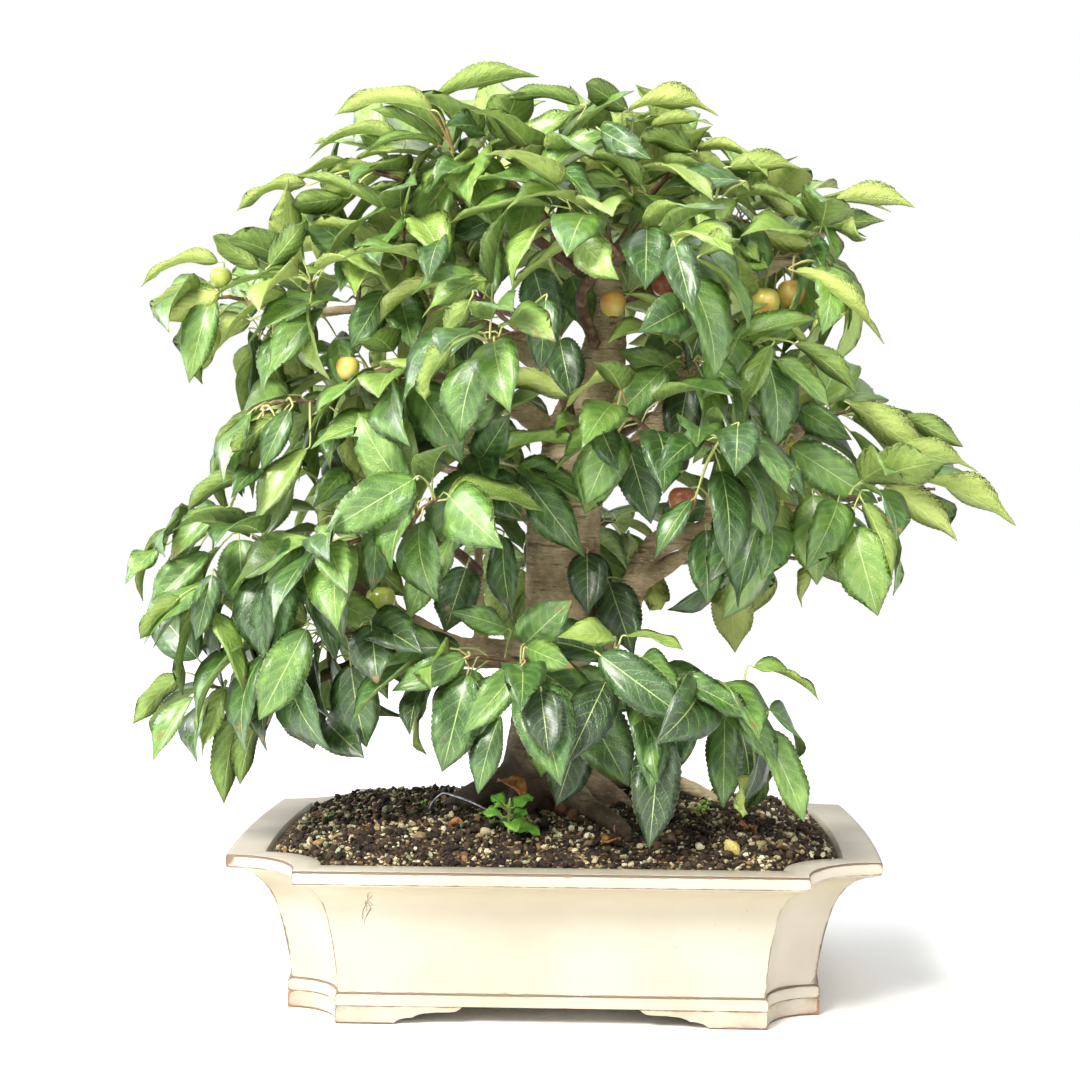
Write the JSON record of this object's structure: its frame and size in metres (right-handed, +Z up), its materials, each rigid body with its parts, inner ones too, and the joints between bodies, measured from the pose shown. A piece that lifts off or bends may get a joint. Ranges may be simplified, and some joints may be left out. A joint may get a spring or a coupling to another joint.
{
  "type": "crabapple bonsai",
  "caption": "Old crabapple bonsai with a tapering trunk, drooping glossy leaves and small fruits, in gritty soil in a cream rectangular pot with scooped corners and cloud feet.",
  "frame": {"origin": "under the middle of the whole on the surface that the pot's feet stand on", "axes": "+X to the viewer's right along the pot's long side, +Y to the back, +Z up; the tree faces -Y"},
  "size_m": [0.6694, 0.5452, 0.7408],
  "materials": {
    "glaze": "cream oatmeal glaze, broken brown along the rim, the upright corners and the base line",
    "soil": "dark gritty soil of bark, cream pumice and tan baked clay grains",
    "bark": "rough tan-brown bark with level pores and old dark scars",
    "leaf": "glossy dark green above with pale veins, paler yellow-green beneath",
    "young_leaf": "soft bright green",
    "green_fruit": "waxy olive green skin",
    "blush_fruit": "waxy yellow skin with an orange blush",
    "red_fruit": "waxy dull red-brown skin",
    "wire": "weathered grey",
    "net": "moulded black mesh"
  },
  "bodies": {
    "root": {"pot": "glaze", "soil": "soil", "drain_screen_left": "net", "drain_screen_right": "net", "anchor_wire": "wire", "trunk": "bark", "seedling": "young_leaf", "fruit_01": "green_fruit", "fruit_02": "green_fruit", "fruit_03": "green_fruit", "fruit_04": "blush_fruit", "fruit_05": "blush_fruit", "fruit_06": "blush_fruit", "fruit_07": "red_fruit", "fruit_08": "red_fruit", "fruit_09": "blush_fruit", "fruit_10": "blush_fruit", "leafy_stem_top_left": "leaf", "leafy_stem_top_front": "leaf", "leafy_stem_top_right": "leaf", "leafy_stem_top_far_right": "leaf", "leafy_stem_top_back": "leaf", "leafy_stem_back_high": "leaf", "leafy_stem_back_left_high": "leaf", "leafy_stem_front_high": "leaf", "leafy_stem_front_middle": "leaf", "leafy_stem_front_right": "leaf", "leafy_stem_front_left": "leaf", "leafy_stem_low_centre": "leaf", "leafy_stem_low_right": "leaf", "leafy_stem_back_left": "leaf", "leafy_stem_back_right": "leaf", "leafy_stem_back_low": "leaf", "leafy_stem_back_low_right": "leaf", "leafy_stem_crown_left_front": "leaf", "leafy_stem_crown_left_back": "leaf", "leafy_stem_shoulder_front": "leaf", "leafy_stem_shoulder_tip": "leaf", "leafy_stem_shoulder_back": "leaf", "leafy_stem_crown_right_tip": "leaf", "leafy_stem_crown_right_front": "leaf", "leafy_stem_crown_right_back": "leaf", "leafy_stem_right_inner": "leaf", "leafy_stem_right_upper_front": "leaf", "leafy_stem_right_stub_tip": "leaf", "leafy_stem_right_stub_back": "leaf", "leafy_stem_right_far_tip": "leaf", "leafy_stem_right_far_front": "leaf", "leafy_stem_right_hanging": "leaf", "leafy_stem_left_high_tip": "leaf", "leafy_stem_left_high_front": "leaf", "leafy_stem_left_high_back": "leaf", "leafy_stem_upright_tip": "leaf", "leafy_stem_left_low_tip": "leaf", "leafy_stem_left_low_front": "leaf", "leafy_stem_left_low_back": "leaf", "leafy_stem_hanging_tip": "leaf", "leafy_stem_hanging_front": "leaf", "leafy_stem_hanging_back": "leaf"}
  },
  "joints": []
}
